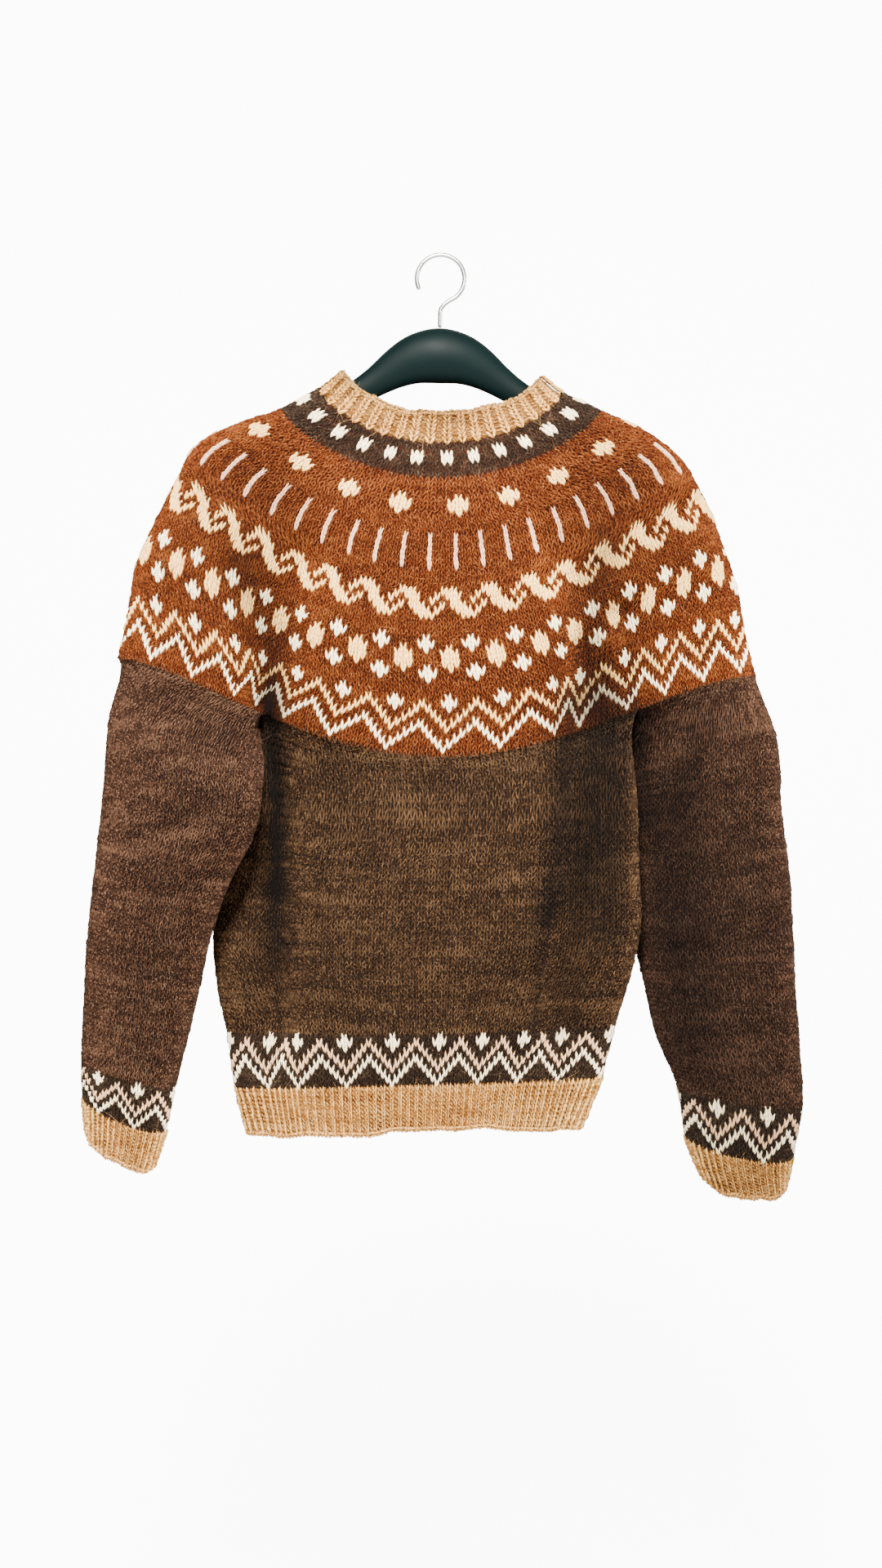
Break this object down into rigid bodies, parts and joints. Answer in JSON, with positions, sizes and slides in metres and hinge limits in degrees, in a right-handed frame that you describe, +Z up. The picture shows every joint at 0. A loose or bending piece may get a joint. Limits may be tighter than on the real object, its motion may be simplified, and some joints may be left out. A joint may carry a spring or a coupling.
{
  "type": "knitted wool pullover on a plastic coat hanger",
  "caption": "Hand-knitted wool pullover with a patterned round yoke, ribbed neck, cuffs and hem, hanging on a moulded plastic hanger with a wire hook.",
  "frame": {"origin": "inner top of the hanger's hook, the point that rests on a rail", "axes": "+Z up, the way the pullover hangs; +X to the right of someone facing its front; +Y from its front to its back"},
  "size_m": [0.6315, 0.1624, 0.83],
  "materials": {
    "rust_wool": "matte",
    "brown_wool": "matte",
    "camel_wool": "matte",
    "moulded_plastic": "satin",
    "steel_wire": "brushed"
  },
  "bodies": {
    "root": {"yoke": "rust_wool", "neckband": "camel_wool", "body": "brown_wool", "hem_rib": "camel_wool", "sleeve_left": "brown_wool", "sleeve_right": "brown_wool", "cuff_left": "camel_wool", "cuff_right": "camel_wool", "hanger": "moulded_plastic", "hanger_hook": "steel_wire"}
  },
  "joints": []
}
